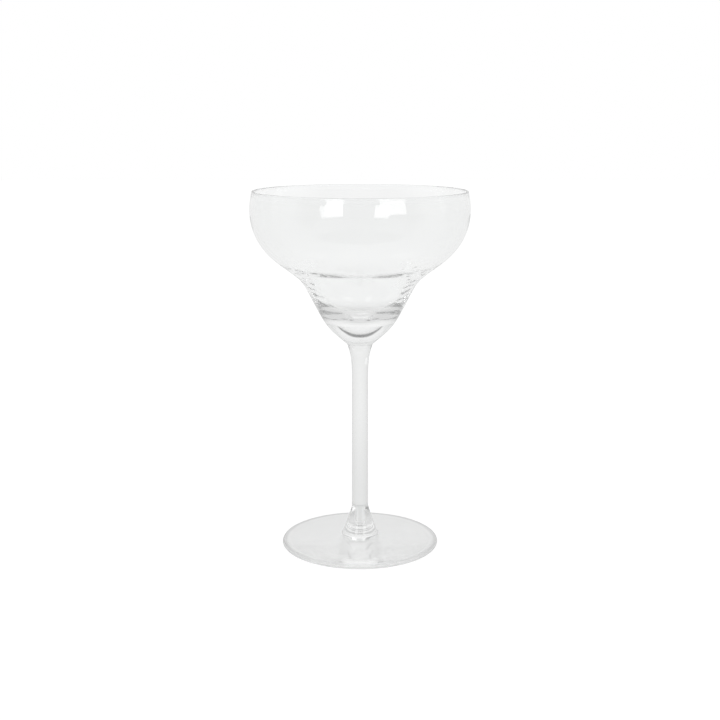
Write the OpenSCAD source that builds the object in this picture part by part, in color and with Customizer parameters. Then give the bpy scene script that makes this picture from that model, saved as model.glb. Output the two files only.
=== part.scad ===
// Margarita glass of clear soda-lime glass: a blown bowl, a drawn stem and a pressed foot,
// made apart and fused end to end. Millimetres, +Z up, with the origin on the table at the
// centre of the foot.

/* [Bowl outside] */
// Outer diameter of the rim
rim_d = 101; // [92:0.5:108]
// Outer diameter of the belly, the widest part
belly_d = 103; // [94:0.5:114]
// Outer diameter of the shoulder, where the wall leans out the most
shoulder_d = 76.5; // [68:0.5:86]
// Outer diameter of the waist, at the top of the small cup
waist_d = 49; // [42:0.5:56]
// Height of the waist above the bowl's joint with the stem
waist_rise = 25; // [20:0.5:30]
// Height of the shoulder above the waist
shoulder_rise = 13.8; // [10:0.1:17]
// Height of the belly above the shoulder
belly_rise = 24.7; // [20:0.1:32]
// Height of the rim above the belly
rim_rise = 9.1; // [6:0.1:13]
// Lean of the wall where it leaves the stem, from upright, in degrees
base_lean = 50; // [40:1:58]
// Lean of the wall at the waist, from upright, in degrees
waist_lean = 27; // [18:1:34]
// Lean of the wall at the shoulder, from upright, in degrees
shoulder_lean = 53; // [46:1:60]
// Inward lean of the wall at the rim, from upright, in degrees
rim_lean = 10; // [4:1:14]

/* [Bowl hollow] */
// Wall thickness at the rim, which ends in a half-round lip
rim_wall = 1.2; // [0.8:0.1:2.2]
// Wall thickness at the belly
belly_wall = 1.1; // [0.8:0.1:2.2]
// Wall thickness at the shoulder
shoulder_wall = 1.2; // [0.8:0.1:2.4]
// Wall thickness at the waist
waist_wall = 1.7; // [1.4:0.1:4]
// Depth of solid glass between the hollow and the stem
floor_depth = 13.2; // [8:0.1:16]

/* [Stem] */
// Diameter of the joint between the bowl and the stem
bowl_joint_d = 12.2; // [10:0.1:15]
// Diameter of the stem at its thinnest, below the flare
stem_top_d = 7.7; // [6:0.1:9]
// Diameter of the stem just above the foot
stem_low_d = 8; // [6.5:0.1:9]
// Length of the stem between its two joints
stem_length = 81.9; // [60:0.1:110]
// Length of the flare at the top of the stem
top_flare_length = 17.4; // [10:0.1:24]
// Lean of the flare where it meets the bowl, from upright, in degrees
top_flare_lean = 20; // [10:1:30]
// Length of the swelling at the bottom of the stem
low_flare_length = 3; // [1.5:0.1:6]

/* [Foot] */
// Diameter of the foot
foot_d = 76; // [64:0.5:88]
// Thickness of the foot at its rounded edge
foot_edge = 2.1; // [1.4:0.1:3]
// Diameter of the joint between the stem and the foot's collar
foot_joint_d = 8.6; // [8:0.1:10]
// Height of the collar's top above the table
collar_height = 17.5; // [13:0.1:22]
// Lean of the collar's side at its top, from upright, in degrees
collar_lean = 18; // [10:1:22]
// Diameter at which the collar's flare meets the foot's top face
flare_d = 19; // [17:0.2:26]
// Height of the foot's top face where the flare meets it
flare_height = 4.9; // [4.2:0.1:5.8]
// Width of the flat ring that the foot stands on
rest_ring_width = 3; // [2:0.1:5]
// Depth of the hollow under the foot, at its centre
kick_depth = 1.2; // [0.6:0.1:1.8]

/* [Hidden] */

// Straight pieces in each curved stretch of an outline, and in each quarter of a round edge
curve_steps = 14;
round_steps = 5;
$fn = 180;

// Heights above the table
foot_joint_z = collar_height;
bowl_joint_z = foot_joint_z + stem_length;
waist_z = bowl_joint_z + waist_rise;
shoulder_z = waist_z + shoulder_rise;
belly_z = shoulder_z + belly_rise;
rim_z = belly_z + rim_rise;

// Lengths of the curves' handles at their start and end, as shares of the distance spanned
cup_outer_shares = [0.44, 0.59];
cup_inner_shares = [0.30, 0.50];
waist_shares = [0.37, 0.585];
belly_shares = [0.18, 0.50];
lip_shares = [0.40, 0.40];
top_flare_shares = [0.46, 0.31];
low_flare_shares = [0.40, 0.40];
collar_shares = [0.09, 0.90];
kick_shares = [0.40, 0.40];

// Share of each stretch of the bowl's wall that keeps its thickness before the wall eases to the next
wall_hold_share = 0.75;

glass_colour = [0.86, 0.91, 0.91, 0.45];
UPRIGHT = 0;
LEVEL = 90;
HALF_TURN = 180;

// A station of an outline is [radius, height, lean], with the lean measured outwards from upright.
function place(station) = [station[0], station[1]];
function along(lean) = [sin(lean), cos(lean)];
function inwards(lean) = [-cos(lean), sin(lean)];

// The four control points of a smooth curve between two stations.
function handles(from, to, shares) =
    let (span = norm(place(to) - place(from)))
    [place(from),
     place(from) + shares[0] * span * along(from[2]),
     place(to) - shares[1] * span * along(to[2]),
     place(to)];

// The place on a curve, and the way it heads there, at a share of its run.
function spot(h, t) =
    let (u = 1 - t)
    u*u*u * h[0] + 3*u*u*t * h[1] + 3*u*t*t * h[2] + t*t*t * h[3];
function heading(h, t) =
    let (u = 1 - t, way = u*u * (h[1] - h[0]) + 2*u*t * (h[2] - h[1]) + t*t * (h[3] - h[2]))
    way / norm(way);

// Points of a smooth curve between two stations, without the first one.
function curve(from, to, shares) =
    let (h = handles(from, to, shares))
    [for (i = [1:curve_steps]) spot(h, i / curve_steps)];

// Points on the hollow side of that curve, without the first one. The wall holds one thickness
// and then eases to the other.
function hollow(from, to, shares, wall_from, wall_to) =
    let (h = handles(from, to, shares))
    [for (i = [1:curve_steps])
        let (t = i / curve_steps,
             way = heading(h, t),
             ease = max(0, t - wall_hold_share) / (1 - wall_hold_share),
             wall = wall_from + (wall_to - wall_from) * ease*ease * (3 - 2*ease))
        spot(h, t) + wall * [-way[1], way[0]]];

// Points of an arc, without the first one, with angles measured from straight out.
function arc(centre, radius, start, end) =
    [for (i = [1:round_steps])
        let (angle = start + (end - start) * i / round_steps)
        centre + radius * [cos(angle), sin(angle)]];

function reversed(points) = [for (i = [len(points) - 1:-1:0]) points[i]];

// The lip is a half round on the end of the wall.
lip_r = rim_wall / 2;
lip_centre = [rim_d / 2 - lip_r, rim_z - lip_r];
lip_outside = concat(lip_centre - lip_r * inwards(-rim_lean), [-rim_lean]);

// Stations of the bowl's outside, from the stem up
base_outside = [bowl_joint_d / 2, bowl_joint_z, base_lean];
waist_outside = [waist_d / 2, waist_z, waist_lean];
shoulder_outside = [shoulder_d / 2, shoulder_z, shoulder_lean];
belly_outside = [belly_d / 2, belly_z, UPRIGHT];

// Stations of the small cup's hollow, from its floor up
floor_inside = [0, bowl_joint_z + floor_depth, LEVEL];
waist_inside = concat(place(waist_outside) + waist_wall * inwards(waist_lean), [waist_lean]);

module bowl() {
    outside = concat(
        [place(base_outside)],
        curve(base_outside, waist_outside, cup_outer_shares),
        curve(waist_outside, shoulder_outside, waist_shares),
        curve(shoulder_outside, belly_outside, belly_shares),
        curve(belly_outside, lip_outside, lip_shares));
    inside = concat(
        [place(floor_inside)],
        curve(floor_inside, waist_inside, cup_inner_shares),
        hollow(waist_outside, shoulder_outside, waist_shares, waist_wall, shoulder_wall),
        hollow(shoulder_outside, belly_outside, belly_shares, shoulder_wall, belly_wall),
        hollow(belly_outside, lip_outside, lip_shares, belly_wall, rim_wall));
    lip = concat(
        arc(lip_centre, lip_r, rim_lean, LEVEL),
        arc(lip_centre, lip_r, LEVEL, HALF_TURN + rim_lean));
    color(glass_colour)
        rotate_extrude()
            polygon(concat(
                [[0, bowl_joint_z]],
                outside,
                [for (i = [0:len(lip) - 2]) lip[i]],
                reversed(inside)));
}

module stem() {
    low_end = [foot_joint_d / 2, foot_joint_z, -collar_lean];
    low_shank = [stem_low_d / 2, foot_joint_z + low_flare_length, UPRIGHT];
    top_shank = [stem_top_d / 2, bowl_joint_z - top_flare_length, UPRIGHT];
    top_end = [bowl_joint_d / 2, bowl_joint_z, top_flare_lean];
    color(glass_colour)
        rotate_extrude()
            polygon(concat(
                [[0, foot_joint_z], place(low_end)],
                curve(low_end, low_shank, low_flare_shares),
                [place(top_shank)],
                curve(top_shank, top_end, top_flare_shares),
                [[0, bowl_joint_z]]));
}

module foot() {
    edge_r = foot_edge / 2;
    edge_centre = [foot_d / 2 - edge_r, edge_r];
    rest_outer = edge_centre[0];
    rest_inner = rest_outer - rest_ring_width;
    top_lean = -atan((rest_outer - flare_d / 2) / (flare_height - foot_edge));
    kick = [0, kick_depth, LEVEL];
    kick_edge = [rest_inner, 0, LEVEL];
    flare = [flare_d / 2, flare_height, top_lean];
    collar = [foot_joint_d / 2, foot_joint_z, -collar_lean];
    color(glass_colour)
        rotate_extrude()
            polygon(concat(
                [place(kick)],
                curve(kick, kick_edge, kick_shares),
                [[rest_outer, 0]],
                arc(edge_centre, edge_r, -LEVEL, 0),
                arc(edge_centre, edge_r, 0, LEVEL),
                [place(flare)],
                curve(flare, collar, collar_shares),
                [[0, foot_joint_z]]));
}

bowl();
stem();
foot();
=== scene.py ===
"""Margarita glass of clear glass, a blown bowl on a drawn stem and a pressed foot, in a white studio."""
import math

import bmesh
import bpy
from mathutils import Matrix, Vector
from mathutils.geometry import interpolate_bezier


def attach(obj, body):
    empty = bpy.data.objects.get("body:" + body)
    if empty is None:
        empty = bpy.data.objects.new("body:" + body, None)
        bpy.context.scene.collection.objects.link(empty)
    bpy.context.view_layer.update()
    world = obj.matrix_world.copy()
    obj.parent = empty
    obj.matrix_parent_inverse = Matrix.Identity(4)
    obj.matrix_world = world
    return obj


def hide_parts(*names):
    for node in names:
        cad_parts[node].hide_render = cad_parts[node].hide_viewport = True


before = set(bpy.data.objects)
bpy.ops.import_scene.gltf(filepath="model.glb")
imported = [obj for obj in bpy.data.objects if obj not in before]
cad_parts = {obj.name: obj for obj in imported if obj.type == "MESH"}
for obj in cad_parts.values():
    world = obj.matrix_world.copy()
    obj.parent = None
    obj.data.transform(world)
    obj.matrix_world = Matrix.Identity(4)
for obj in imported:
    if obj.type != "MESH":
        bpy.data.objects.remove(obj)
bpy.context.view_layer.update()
scene = bpy.context.scene
MM = 0.001

# Sizes of the glass in millimetres, as in the part's source
RIM_D, BELLY_D, SHOULDER_D, WAIST_D = 101.0, 103.0, 76.5, 49.0
WAIST_RISE, SHOULDER_RISE, BELLY_RISE, RIM_RISE = 25.0, 13.8, 24.7, 9.1
BASE_LEAN, WAIST_LEAN, SHOULDER_LEAN, RIM_LEAN = 50.0, 27.0, 53.0, 10.0
RIM_WALL, BELLY_WALL, SHOULDER_WALL, WAIST_WALL = 1.2, 1.1, 1.2, 1.7
FLOOR_DEPTH = 13.2
BOWL_JOINT_D, STEM_TOP_D, STEM_LOW_D, FOOT_JOINT_D = 12.2, 7.7, 8.0, 8.6
STEM_LENGTH, TOP_FLARE_LENGTH, TOP_FLARE_LEAN, LOW_FLARE_LENGTH = 81.9, 17.4, 20.0, 3.0
FOOT_D, FOOT_EDGE, COLLAR_HEIGHT, COLLAR_LEAN = 76.0, 2.1, 17.5, 18.0
FLARE_D, FLARE_HEIGHT, REST_RING_WIDTH, KICK_DEPTH = 19.0, 4.9, 3.0, 1.2
UPRIGHT, LEVEL, HALF_TURN = 0.0, 90.0, 180.0

# Lengths of the curves' handles at their start and end, as shares of the distance spanned
CUP_OUTER, CUP_INNER, WAIST, BELLY = (0.44, 0.59), (0.30, 0.50), (0.37, 0.585), (0.18, 0.50)
LIP, TOP_FLARE, LOW_FLARE = (0.40, 0.40), (0.46, 0.31), (0.40, 0.40)
COLLAR, KICK = (0.09, 0.90), (0.40, 0.40)

# Share of each stretch of the bowl's wall that keeps its thickness before the wall eases to the next
WALL_HOLD = 0.75

# Rings in each curved stretch and each quarter of a round edge, and facets around the axis
CURVE_RINGS, ROUND_RINGS, FACETS = 22, 8, 384

# Points of an outline this close, in millimetres, and places this close, in metres, are the same
SAME_POINT, SAME_PLACE = 1e-5, 1e-7

# Places of a piece's materials: its outside comes first, then its fused ends and the sides that face
# its axis
SEAM, INSIDE = 1, 2

# Heights above the table
FOOT_JOINT_Z = COLLAR_HEIGHT
BOWL_JOINT_Z = FOOT_JOINT_Z + STEM_LENGTH
WAIST_Z = BOWL_JOINT_Z + WAIST_RISE
SHOULDER_Z = WAIST_Z + SHOULDER_RISE
BELLY_Z = SHOULDER_Z + BELLY_RISE
RIM_Z = BELLY_Z + RIM_RISE


def along(lean):
    """The way a wall heads that leans out from upright by this many degrees."""
    turn = math.radians(lean)
    return Vector((math.sin(turn), math.cos(turn)))


def inwards(way):
    """The side of a wall that faces the axis."""
    return Vector((-way.y, way.x))


def station(radius, height, lean):
    """A place on an outline with the lean of the wall there."""
    return Vector((radius, height)), lean


def curve(start, end, shares):
    """Points of a smooth curve between two stations, with both ends."""
    (p, p_lean), (s, s_lean) = start, end
    span = (s - p).length
    q = p + along(p_lean) * shares[0] * span
    r = s - along(s_lean) * shares[1] * span
    return interpolate_bezier(p, q, r, s, CURVE_RINGS + 1)


def hollow(start, end, shares, wall_start, wall_end):
    """The hollow side of that curve. The wall holds one thickness and then eases to the other."""
    points = curve(start, end, shares)
    last = len(points) - 1
    side = []
    for i, point in enumerate(points):
        if i == 0:
            way = along(start[1])
        elif i == last:
            way = along(end[1])
        else:
            way = (points[i + 1] - points[i - 1]).normalized()
        ease = max(0.0, i / last - WALL_HOLD) / (1 - WALL_HOLD)
        wall = wall_start + (wall_end - wall_start) * ease * ease * (3 - 2 * ease)
        side.append(point + inwards(way) * wall)
    return side


def round_edge(centre, radius, start, end):
    """Points of an arc, with angles measured from straight out."""
    turns = [math.radians(start + (end - start) * i / ROUND_RINGS) for i in range(ROUND_RINGS + 1)]
    return [centre + Vector((math.cos(turn), math.sin(turn))) * radius for turn in turns]


def chain(*stretches):
    """One outline from several stretches, with the doubled ends left out."""
    points = []
    for stretch in stretches:
        for point in stretch:
            if not points or (point - points[-1]).length > SAME_POINT:
                points.append(point)
    return points


def spun(name, outline, seams, materials):
    """A closed piece turned about the axis from an outline in millimetres. Seams are the heights of
    its fused ends."""
    shape = bmesh.new()
    row = [shape.verts.new((point.x * MM, 0.0, point.y * MM)) for point in outline]
    edges = [shape.edges.new(pair) for pair in zip(row, row[1:])]
    bmesh.ops.spin(shape, geom=row + edges, cent=(0, 0, 0), axis=(0, 0, 1), angle=math.tau,
                   steps=FACETS, use_merge=True)
    bmesh.ops.remove_doubles(shape, verts=shape.verts, dist=SAME_PLACE)
    bmesh.ops.recalc_face_normals(shape, faces=shape.faces)
    for face in shape.faces:
        face.smooth = True
        middle = face.calc_center_median()
        if any(all(abs(v.co.z - z * MM) < SAME_PLACE for v in face.verts) for z in seams):
            face.material_index = SEAM
        elif face.normal.x * middle.x + face.normal.y * middle.y < 0.0:
            face.material_index = INSIDE
    for edge in shape.edges:
        edge.smooth = len({face.material_index == SEAM for face in edge.link_faces}) == 1
    mesh = bpy.data.meshes.new(name)
    shape.to_mesh(mesh)
    shape.free()
    for material in materials:
        mesh.materials.append(material)
    piece = bpy.data.objects.new(name, mesh)
    scene.collection.objects.link(piece)
    return piece


def bowl_outline():
    """Up the outside from the joint, over the lip, and down the hollow to its floor."""
    lip_r = RIM_WALL / 2
    lip = Vector((RIM_D / 2 - lip_r, RIM_Z - lip_r))
    lip_side = lip - inwards(along(-RIM_LEAN)) * lip_r
    base = station(BOWL_JOINT_D / 2, BOWL_JOINT_Z, BASE_LEAN)
    waist = station(WAIST_D / 2, WAIST_Z, WAIST_LEAN)
    shoulder = station(SHOULDER_D / 2, SHOULDER_Z, SHOULDER_LEAN)
    belly = station(BELLY_D / 2, BELLY_Z, UPRIGHT)
    rim = (lip_side, -RIM_LEAN)
    cup_floor = station(0.0, BOWL_JOINT_Z + FLOOR_DEPTH, LEVEL)
    cup_waist = (waist[0] + inwards(along(WAIST_LEAN)) * WAIST_WALL, WAIST_LEAN)
    outside = chain(
        [Vector((0.0, BOWL_JOINT_Z))],
        curve(base, waist, CUP_OUTER),
        curve(waist, shoulder, WAIST),
        curve(shoulder, belly, BELLY),
        curve(belly, rim, LIP),
        round_edge(lip, lip_r, RIM_LEAN, LEVEL),
        round_edge(lip, lip_r, LEVEL, HALF_TURN + RIM_LEAN))
    inside = chain(
        curve(cup_floor, cup_waist, CUP_INNER),
        hollow(waist, shoulder, WAIST, WAIST_WALL, SHOULDER_WALL),
        hollow(shoulder, belly, BELLY, SHOULDER_WALL, BELLY_WALL),
        hollow(belly, rim, LIP, BELLY_WALL, RIM_WALL))
    return chain(outside, reversed(inside))


def stem_outline():
    """Up the side of the stem from the foot's collar to the bowl."""
    low_end = station(FOOT_JOINT_D / 2, FOOT_JOINT_Z, -COLLAR_LEAN)
    low_shank = station(STEM_LOW_D / 2, FOOT_JOINT_Z + LOW_FLARE_LENGTH, UPRIGHT)
    top_shank = station(STEM_TOP_D / 2, BOWL_JOINT_Z - TOP_FLARE_LENGTH, UPRIGHT)
    top_end = station(BOWL_JOINT_D / 2, BOWL_JOINT_Z, TOP_FLARE_LEAN)
    return chain(
        [Vector((0.0, FOOT_JOINT_Z))],
        curve(low_end, low_shank, LOW_FLARE),
        curve(top_shank, top_end, TOP_FLARE),
        [Vector((0.0, BOWL_JOINT_Z))])


def foot_outline():
    """Out along the underside, round the edge, and up the top face and the collar."""
    edge_r = FOOT_EDGE / 2
    edge = Vector((FOOT_D / 2 - edge_r, edge_r))
    run = edge.x - FLARE_D / 2
    top_lean = -math.degrees(math.atan(run / (FLARE_HEIGHT - FOOT_EDGE)))
    kick = station(0.0, KICK_DEPTH, LEVEL)
    kick_edge = station(edge.x - REST_RING_WIDTH, 0.0, LEVEL)
    flare = station(FLARE_D / 2, FLARE_HEIGHT, top_lean)
    collar = station(FOOT_JOINT_D / 2, FOOT_JOINT_Z, -COLLAR_LEAN)
    return chain(
        curve(kick, kick_edge, KICK),
        round_edge(edge, edge_r, -LEVEL, 0.0),
        round_edge(edge, edge_r, 0.0, LEVEL),
        curve(flare, collar, COLLAR),
        [Vector((0.0, FOOT_JOINT_Z))])


def fill(tree, socket, value):
    """Links a socket into an input, or sets a value on it."""
    if isinstance(value, bpy.types.NodeSocket):
        tree.links.new(value, socket)
    else:
        socket.default_value = value


def new_node(tree, kind, **inputs):
    """A node with values or links on its named inputs. Spaces in names are written as underscores."""
    node = tree.nodes.new(kind)
    for name, value in inputs.items():
        fill(tree, node.inputs[name.replace("_", " ")], value)
    return node


def sum_of(tree, operation, first, second):
    """One step of arithmetic on two values or sockets."""
    node = tree.nodes.new("ShaderNodeMath")
    node.operation = operation
    for socket, value in zip(node.inputs, (first, second)):
        fill(tree, socket, value)
    return node.outputs[0]


def rest_of(tree, share):
    """What a share leaves of one."""
    return sum_of(tree, "SUBTRACT", 1.0, share)


def between(tree, share, at_full, at_none):
    """A value that goes from one level to another with a share."""
    return sum_of(tree, "ADD", sum_of(tree, "MULTIPLY", share, at_full),
                  sum_of(tree, "MULTIPLY", rest_of(tree, share), at_none))


def ramp(tree, value, low, high, at_low, at_high):
    """A smooth step of a value from one level to another."""
    node = new_node(tree, "ShaderNodeMapRange", Value=value, From_Min=low, From_Max=high,
                    To_Min=at_low, To_Max=at_high)
    node.interpolation_type = "SMOOTHSTEP"
    return node.outputs["Result"]


def vector_step(tree, operation, vector):
    """A node with one step of arithmetic on a vector or colour."""
    node = tree.nodes.new("ShaderNodeVectorMath")
    node.operation = operation
    tree.links.new(vector, node.inputs[0])
    return node


def shaded(tree, colour, share):
    """A colour dimmed to a share of itself."""
    node = vector_step(tree, "SCALE", colour)
    tree.links.new(share, node.inputs["Scale"])
    return node.outputs[0]


# Bands of the glass are low, high, level at low and level at high, with heights and radii in metres.
# Ripples are flatter than wide. They rise within each end of their band of heights, stay clear of the
# middle of the cup's floor, and may fade from the sides of the bowl to its front and back.
RIPPLE_STRETCH = (1.0, 1.0, 3.0)
RIPPLE_FADE = (0.0, 0.005, 0.0, 1.0)
RIPPLE_OUT = (0.010, 0.014, 0.0, 1.0)
RIPPLE_FRONT = (0.55, 0.85, 1.0, 0.0)

# Roughness along the cords, and of the lip, which the flame leaves softer
SMEAR = (0.35, 0.75, 0.0, 0.012)
LIP_SMEAR = (0.17, 0.1712, 0.0, 0.12)

# The heights between which the bowl's solid base, greyer for its depth, gives way to the thin wall
BASE_BAND = (0.1, 0.109, 0.0, 1.0)

# How strongly soda-lime glass bends light
GLASS_IOR = 1.52


def glass_flow_group():
    """Slow waves, fine cords and ripples left in the glass by its making, with its tint and smear."""
    group = bpy.data.node_groups.new("glass_flow", "ShaderNodeTree")
    face = group.interface
    face.new_socket("Stretch", in_out="INPUT", socket_type="NodeSocketVector")
    for name in ("Wave Scale", "Cord Scale", "Cord Share", "Ripple Scale", "Ripple Share",
                 "Ripple Start", "Ripple End", "Ripple Sides", "Base Level"):
        face.new_socket(name, in_out="INPUT", socket_type="NodeSocketFloat")
    for name in ("Thin Tint", "Thick Tint"):
        face.new_socket(name, in_out="INPUT", socket_type="NodeSocketColor")
    face.new_socket("Height", in_out="OUTPUT", socket_type="NodeSocketFloat")
    face.new_socket("Tint", in_out="OUTPUT", socket_type="NodeSocketColor")
    face.new_socket("Smear", in_out="OUTPUT", socket_type="NodeSocketFloat")
    given = group.nodes.new("NodeGroupInput").outputs
    place = group.nodes.new("ShaderNodeTexCoord").outputs["Object"]
    parts = new_node(group, "ShaderNodeSeparateXYZ", Vector=place).outputs

    # Waves and cords
    drawn = vector_step(group, "MULTIPLY", place)
    group.links.new(given["Stretch"], drawn.inputs[1])
    waves = new_node(group, "ShaderNodeTexNoise", Vector=drawn.outputs[0],
                     Scale=given["Wave Scale"], Detail=1.0, Roughness=0.4).outputs[0]
    cords = new_node(group, "ShaderNodeTexNoise", Vector=drawn.outputs[0],
                     Scale=given["Cord Scale"], Detail=2.0, Roughness=0.5).outputs[0]
    cord_part = sum_of(group, "MULTIPLY", cords, given["Cord Share"])

    # Ripples, and the share of them at each place
    flattened = new_node(group, "ShaderNodeMapping", Vector=place, Scale=RIPPLE_STRETCH)
    ripples = new_node(group, "ShaderNodeTexNoise", Vector=flattened.outputs[0],
                       Scale=given["Ripple Scale"], Detail=0.0).outputs[0]
    across = new_node(group, "ShaderNodeCombineXYZ", X=parts["X"], Y=parts["Y"])
    radius = vector_step(group, "LENGTH", across.outputs[0]).outputs["Value"]
    above = sum_of(group, "SUBTRACT", parts["Z"], given["Ripple Start"])
    below = sum_of(group, "SUBTRACT", given["Ripple End"], parts["Z"])
    sideways = sum_of(group, "DIVIDE", sum_of(group, "ABSOLUTE", parts["X"], 0.0), radius)
    front = sum_of(group, "MULTIPLY", ramp(group, sideways, *RIPPLE_FRONT), given["Ripple Sides"])
    share = sum_of(group, "MULTIPLY", ramp(group, above, *RIPPLE_FADE), ramp(group, below, *RIPPLE_FADE))
    share = sum_of(group, "MULTIPLY", share, ramp(group, radius, *RIPPLE_OUT))
    share = sum_of(group, "MULTIPLY", share, rest_of(group, front))
    ripple_part = sum_of(group, "MULTIPLY", sum_of(group, "MULTIPLY", ripples, share),
                         given["Ripple Share"])
    height = sum_of(group, "ADD", sum_of(group, "ADD", waves, cord_part), ripple_part)

    # Tint, greyer in the solid base
    tint = new_node(group, "ShaderNodeMix")
    tint.data_type = "RGBA"
    group.links.new(waves, tint.inputs["Factor"])
    group.links.new(given["Thin Tint"], tint.inputs[6])
    group.links.new(given["Thick Tint"], tint.inputs[7])
    thin_share = ramp(group, parts["Z"], *BASE_BAND)
    shade = shaded(group, tint.outputs[2], between(group, thin_share, 1.0, given["Base Level"]))

    smear = sum_of(group, "ADD", ramp(group, cords, *SMEAR), ramp(group, parts["Z"], *LIP_SMEAR))
    result = group.nodes.new("NodeGroupOutput")
    group.links.new(height, result.inputs["Height"])
    group.links.new(shade, result.inputs["Tint"])
    group.links.new(smear, result.inputs["Smear"])
    return group


def clear_glass(name, flow, depth, painted_edge_shade=0.0, **marks):
    """Clear soda-lime glass with the flow of one way of making. Its colour is greyed with painted shade
    where the glass is seen along its side."""
    material = bpy.data.materials.new(name)
    material.use_nodes = True
    tree = material.node_tree
    shader = tree.nodes["Principled BSDF"]
    group = tree.nodes.new("ShaderNodeGroup")
    group.node_tree = flow
    for mark, value in marks.items():
        group.inputs[mark.replace("_", " ").title()].default_value = value
    bump = new_node(tree, "ShaderNodeBump", Strength=1.0, Distance=depth, Height=group.outputs["Height"])
    tint = group.outputs["Tint"]
    # Painted shade: the colour greys where the glass is seen along its side
    if painted_edge_shade:
        facing = new_node(tree, "ShaderNodeLayerWeight", Blend=0.5).outputs["Facing"]
        tint = shaded(tree, tint, rest_of(tree, sum_of(tree, "MULTIPLY", facing, painted_edge_shade)))
    tree.links.new(tint, shader.inputs["Base Color"])
    tree.links.new(group.outputs["Smear"], shader.inputs["Roughness"])
    tree.links.new(bump.outputs[0], shader.inputs["Normal"])
    shader.inputs["IOR"].default_value = GLASS_IOR
    shader.inputs["Transmission Weight"].default_value = 1.0
    return material


def fused_seam():
    """The face where two pieces are fused: light runs on through it."""
    material = bpy.data.materials.new("fused_seam")
    material.use_nodes = True
    shader = material.node_tree.nodes["Principled BSDF"]
    shader.inputs["Alpha"].default_value = 0.0
    return material


# Depth of the blown waves and of the finer drawn and pressed ones, in metres
BLOWN_DEPTH, FINE_DEPTH = 0.00002, 0.000015

# What the two sides of the blown wall share, and what the glass without ripples has
BLOWN = dict(stretch=(1.0, 1.0, 1.6), wave_scale=60.0, cord_scale=260.0, cord_share=0.1,
             thin_tint=(0.99, 0.994, 0.992, 1.0), thick_tint=(0.978, 0.984, 0.982, 1.0))
EVEN = dict(ripple_scale=110.0, ripple_share=0.0, ripple_start=0.0, ripple_end=0.0,
            ripple_sides=0.0, base_level=1.0)

flow = glass_flow_group()
seam = fused_seam()
bowl_glass = clear_glass(
    "blown_bowl_glass", flow, BLOWN_DEPTH, **BLOWN, ripple_scale=180.0, ripple_share=40.0,
    ripple_start=0.12, ripple_end=0.137, ripple_sides=1.0, base_level=0.7)
hollow_glass = clear_glass(
    "blown_hollow_glass", flow, BLOWN_DEPTH, **BLOWN, ripple_scale=120.0, ripple_share=8.0,
    ripple_start=0.11, ripple_end=0.122, ripple_sides=0.0, base_level=1.0)
# The stem's sides get painted shade
stem_glass = clear_glass(
    "drawn_stem_glass", flow, FINE_DEPTH, painted_edge_shade=0.28, **EVEN, stretch=(1.0, 1.0, 0.15),
    wave_scale=160.0, cord_scale=420.0, cord_share=0.3,
    thin_tint=(0.93, 0.935, 0.932, 1.0), thick_tint=(0.905, 0.912, 0.908, 1.0))
foot_glass = clear_glass(
    "pressed_foot_glass", flow, FINE_DEPTH, **EVEN, stretch=(1.0, 1.0, 1.0),
    wave_scale=90.0, cord_scale=300.0, cord_share=0.3,
    thin_tint=(0.95, 0.955, 0.952, 1.0), thick_tint=(0.93, 0.936, 0.934, 1.0))

pieces = (
    ("clear_bowl", "bowl", bowl_outline(), (BOWL_JOINT_Z,), bowl_glass, hollow_glass),
    ("clear_stem", "stem", stem_outline(), (FOOT_JOINT_Z, BOWL_JOINT_Z), stem_glass, stem_glass),
    ("clear_foot", "foot", foot_outline(), (FOOT_JOINT_Z,), foot_glass, foot_glass),
)
for name, node, outline, seams, outside, inside in pieces:
    piece = spun(name, outline, seams, (outside, seam, inside))
    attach(piece, "root")
    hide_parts(node)

WHITE = (1.0, 1.0, 1.0, 1.0)

# The table reaches this far from the glass, in metres. Its colour takes the lamps' light and shadows,
# and its glow lifts it to white for the camera. What the lamps give it is taken off where glass shows it.
TABLE_REACH = 3.0
TABLE_COLOUR, TABLE_GLOW, TABLE_LIT = (0.3, 0.3, 0.3, 1.0), 0.84, 0.21

# Bands of the studio's light are low, high, level at low and level at high.
# The table by the distance from the axis: the far part, the near part, darker with painted shadow, and a
# ring of painted shadow under the foot's edge
FAR_TABLE = (0.05, 0.3, 0.0, 1.0)
SHADED_NEAR_TABLE = (0.05, 0.3, 0.87, 0.0)
SHADOW_RING_INNER = (0.0350, 0.0365, 1.0, 0.8)
SHADOW_RING_OUTER = (0.0375, 0.0385, 0.8, 1.0)

# The room by the way it lies: to either side, to the camera's side, and the dim upper corners between
SIDES = (0.25, 0.97, 1.0, 0.75)
FRONT = (0.1, 0.8, 1.0, 0.35)
DIM_FRONT = (0.0, 0.4, 1.0, 0.3)
DIM_ABOVE = (0.1, 0.35, 1.0, 0.3)
DIM_SIDE = (0.6, 0.8, 1.0, 0.3)

# The ceiling over the camera's side, and the height that it starts from
CEILING = (0.01, 0.08, 1.0, 0.3)
CEILING_FROM = (0.78, 0.9, 1.0, 0.0)

# The room that is mirrored in the glass, from behind it to the camera's side
MIRRORED = (-0.9, 0.2, 0.78, 0.5)

# The white room behind the glass, and the room's light on the table
ROOM_LEVEL, LAMP_LEVEL = 0.98, 0.65

# Distance of the softboxes from the axis and the height that they are turned to, in metres
SOFTBOX_DISTANCE, SOFTBOX_AIM = 1.2, 0.3

# The camera's lens and frame in millimetres, its place in metres, and how far it looks down in degrees
LENS, FRAME_WIDTH = 60.0, 36.0
CAMERA_PLACE, CAMERA_DIP = (0.0, -0.5625, 0.20946), 11.85

# Bounces of light in the glass, which pipes it round the rim, and through the seams
GLASS_BOUNCES, SEAM_BOUNCES = 512, 64


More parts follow.
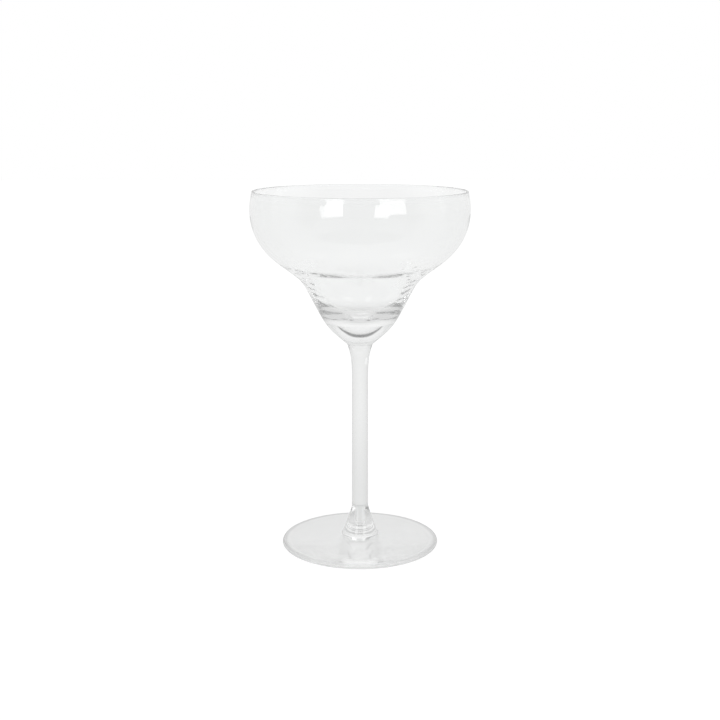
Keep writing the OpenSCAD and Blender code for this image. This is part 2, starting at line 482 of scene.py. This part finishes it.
def surroundings(tree, way):
    """The level of the room that lies one way, for light turned back inside the glass, with the height
    of that way and its lean towards the camera."""
    parts = new_node(tree, "ShaderNodeSeparateXYZ", Vector=way).outputs
    across = sum_of(tree, "ABSOLUTE", parts["X"], 0.0)
    nearer = sum_of(tree, "MULTIPLY", parts["Y"], -1.0)
    level = sum_of(tree, "MULTIPLY", ramp(tree, across, *SIDES), ramp(tree, nearer, *FRONT))
    dim = sum_of(tree, "MAXIMUM", ramp(tree, nearer, *DIM_FRONT), ramp(tree, parts["Z"], *DIM_ABOVE))
    dim = sum_of(tree, "MAXIMUM", dim, ramp(tree, across, *DIM_SIDE))
    return sum_of(tree, "MULTIPLY", level, dim), parts["Z"], nearer


def past_the_glass(tree, ray, level):
    """The room behind the glass: white straight through it, and this level for a ray turned back
    inside."""
    turned = sum_of(tree, "MINIMUM", ray["Glossy Depth"], 1.0)
    return sum_of(tree, "MULTIPLY", between(tree, turned, level, 1.0), ROOM_LEVEL)


def seen_in_glass(tree, ray, through, nearer):
    """The level that a ray from the glass finds: what lies there where it goes through, and an even
    room that darkens towards the camera where it is mirrored."""
    mirrored = sum_of(tree, "MULTIPLY", ray["Is Glossy Ray"], rest_of(tree, ray["Is Transmission Ray"]))
    return between(tree, mirrored, ramp(tree, nearer, *MIRRORED), through)


def studio_floor():
    """A wide white table. In the glass it runs on into the room, and painted shadow darkens it a little
    by the foot.
    """
    shape = bmesh.new()
    bmesh.ops.create_grid(shape, x_segments=1, y_segments=1, size=TABLE_REACH)
    mesh = bpy.data.meshes.new("studio_floor")
    shape.to_mesh(mesh)
    shape.free()
    material = bpy.data.materials.new("white_table")
    material.use_nodes = True
    tree = material.node_tree
    tree.nodes.clear()
    ray = tree.nodes.new("ShaderNodeLightPath").outputs
    spot = tree.nodes.new("ShaderNodeTexCoord").outputs["Object"]
    outward = vector_step(tree, "NORMALIZE", spot).outputs["Vector"]
    away = vector_step(tree, "LENGTH", spot).outputs["Value"]
    room, _, nearer = surroundings(tree, outward)
    far_level = sum_of(tree, "MULTIPLY", past_the_glass(tree, ray, room), ramp(tree, away, *FAR_TABLE))
    # Painted shadow: in the glass the table is darker near the foot and in a ring under its edge
    painted_shadow_ring = sum_of(tree, "MAXIMUM", ramp(tree, away, *SHADOW_RING_INNER), ramp(tree, away, *SHADOW_RING_OUTER))
    shaded_near_level = sum_of(tree, "MULTIPLY", ramp(tree, away, *SHADED_NEAR_TABLE), painted_shadow_ring)
    through = sum_of(tree, "ADD", far_level, shaded_near_level)
    direct = ray["Is Camera Ray"]
    plain_ray = sum_of(tree, "MAXIMUM", direct, ray["Is Diffuse Ray"])
    level = sum_of(tree, "SUBTRACT", seen_in_glass(tree, ray, through, nearer), TABLE_LIT)
    level = sum_of(tree, "MULTIPLY", level, rest_of(tree, plain_ray))
    level = sum_of(tree, "ADD", level, sum_of(tree, "MULTIPLY", direct, TABLE_GLOW))
    plain = new_node(tree, "ShaderNodeBsdfDiffuse", Color=TABLE_COLOUR)
    glow = new_node(tree, "ShaderNodeEmission", Color=WHITE, Strength=level)
    both = tree.nodes.new("ShaderNodeAddShader")
    tree.links.new(plain.outputs[0], both.inputs[0])
    tree.links.new(glow.outputs[0], both.inputs[1])
    out = tree.nodes.new("ShaderNodeOutputMaterial")
    tree.links.new(both.outputs[0], out.inputs["Surface"])
    mesh.materials.append(material)
    floor = bpy.data.objects.new("studio_floor", mesh)
    scene.collection.objects.link(floor)


def studio_world():
    """A white room for the camera. In the glass it has a dark ceiling over the camera's side."""
    world = bpy.data.worlds.new("studio")
    scene.world = world
    world.use_nodes = True
    tree = world.node_tree
    tree.nodes.clear()
    ray = tree.nodes.new("ShaderNodeLightPath").outputs
    way = tree.nodes.new("ShaderNodeTexCoord").outputs["Generated"]
    room, height, nearer = surroundings(tree, way)
    ceiling = sum_of(tree, "MAXIMUM", ramp(tree, nearer, *CEILING), ramp(tree, height, *CEILING_FROM))
    room = past_the_glass(tree, ray, sum_of(tree, "MULTIPLY", room, ceiling))
    room = seen_in_glass(tree, ray, room, nearer)
    room = between(tree, ray["Is Diffuse Ray"], LAMP_LEVEL, room)
    strength = sum_of(tree, "MAXIMUM", room, ray["Is Camera Ray"])
    sky = new_node(tree, "ShaderNodeBackground", Color=WHITE, Strength=strength)
    out = tree.nodes.new("ShaderNodeOutputWorld")
    tree.links.new(sky.outputs[0], out.inputs["Surface"])


def softbox(name, azimuth, height, width, tall, power):
    """A softbox on the camera's side of the glass, turned to it. Its azimuth is in degrees from the
    camera to the right."""
    lamp = bpy.data.lights.new(name, "AREA")
    lamp.shape = "RECTANGLE"
    lamp.size, lamp.size_y, lamp.energy = width, tall, power
    box = bpy.data.objects.new(name, lamp)
    turn = math.radians(azimuth)
    box.location = (math.sin(turn) * SOFTBOX_DISTANCE, -math.cos(turn) * SOFTBOX_DISTANCE, height)
    aim = Vector((0.0, 0.0, SOFTBOX_AIM)) - box.location
    box.rotation_euler = aim.to_track_quat("-Z", "Y").to_euler()
    box.visible_camera = False
    scene.collection.objects.link(box)


studio_floor()
studio_world()
softbox("softbox_left", azimuth=-26.0, height=0.47, width=0.37, tall=0.6, power=1.4)
softbox("softbox_right", azimuth=33.6, height=0.46, width=0.57, tall=0.52, power=1.6)

lens = bpy.data.cameras.new("camera")
lens.lens, lens.sensor_width = LENS, FRAME_WIDTH
camera = bpy.data.objects.new("camera", lens)
camera.location = CAMERA_PLACE
camera.rotation_euler = (math.radians(LEVEL - CAMERA_DIP), 0.0, 0.0)
scene.collection.objects.link(camera)
scene.camera = camera

scene.view_settings.view_transform = "Standard"
cycles = scene.cycles
cycles.max_bounces = cycles.transmission_bounces = cycles.glossy_bounces = GLASS_BOUNCES
cycles.transparent_max_bounces = SEAM_BOUNCES
